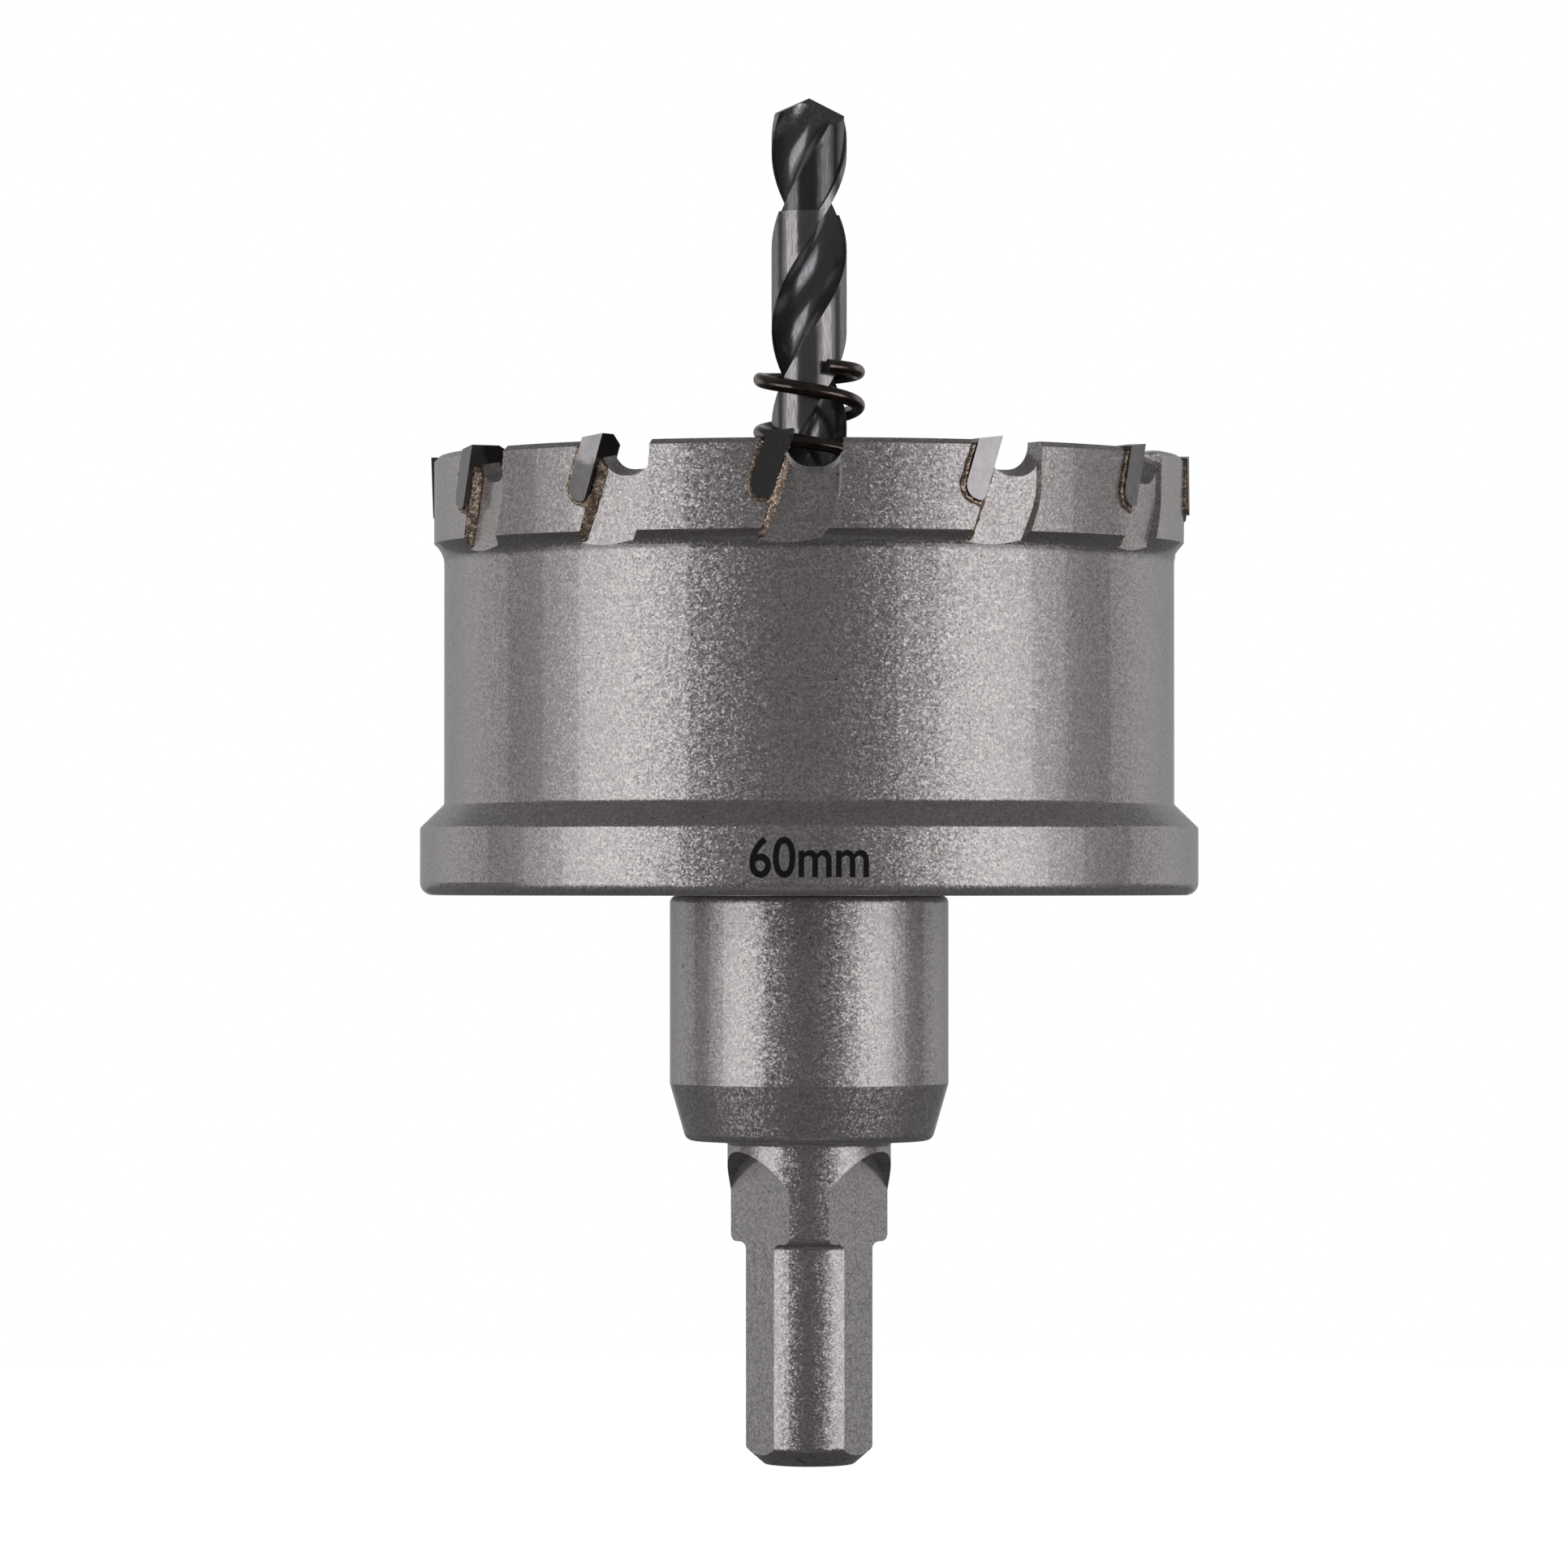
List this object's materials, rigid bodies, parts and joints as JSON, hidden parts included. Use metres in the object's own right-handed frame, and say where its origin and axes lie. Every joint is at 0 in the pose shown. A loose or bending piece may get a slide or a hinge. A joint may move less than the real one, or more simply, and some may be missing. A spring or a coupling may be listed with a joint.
{
  "type": "hole saw",
  "caption": "Carbide-tipped hole saw with its arbor, twist pilot drill, ejector spring and three-flat chuck shank, for round holes in sheet metal.",
  "frame": {"origin": "centre of the end face of the chuck shank", "axes": "+Z along the axis to the drill's point, the front with the size mark faces -Y"},
  "size_m": [0.0614, 0.0614, 0.1079],
  "materials": {
    "coated_steel": "grey metallic coat with a fine sparkle",
    "carbide": "ground carbide",
    "braze": "granular braze",
    "drill_steel": "black oxide with ground lands",
    "spring_wire": "oil-tempered wire",
    "screw_steel": "black oxide"
  },
  "bodies": {
    "root": {"cup": "coated_steel", "arbor": "coated_steel", "pilot_drill": "drill_steel", "ejector_spring": "spring_wire", "grub_screw": "screw_steel", "carbide_tip_01": "carbide", "carbide_tip_02": "carbide", "carbide_tip_03": "carbide", "carbide_tip_04": "carbide", "carbide_tip_05": "carbide", "carbide_tip_06": "carbide", "carbide_tip_07": "carbide", "carbide_tip_08": "carbide", "carbide_tip_09": "carbide", "carbide_tip_10": "carbide", "carbide_tip_11": "carbide", "carbide_tip_12": "carbide", "braze_01": "braze", "braze_02": "braze", "braze_03": "braze", "braze_04": "braze", "braze_05": "braze", "braze_06": "braze", "braze_07": "braze", "braze_08": "braze", "braze_09": "braze", "braze_10": "braze", "braze_11": "braze", "braze_12": "braze"}
  },
  "joints": []
}
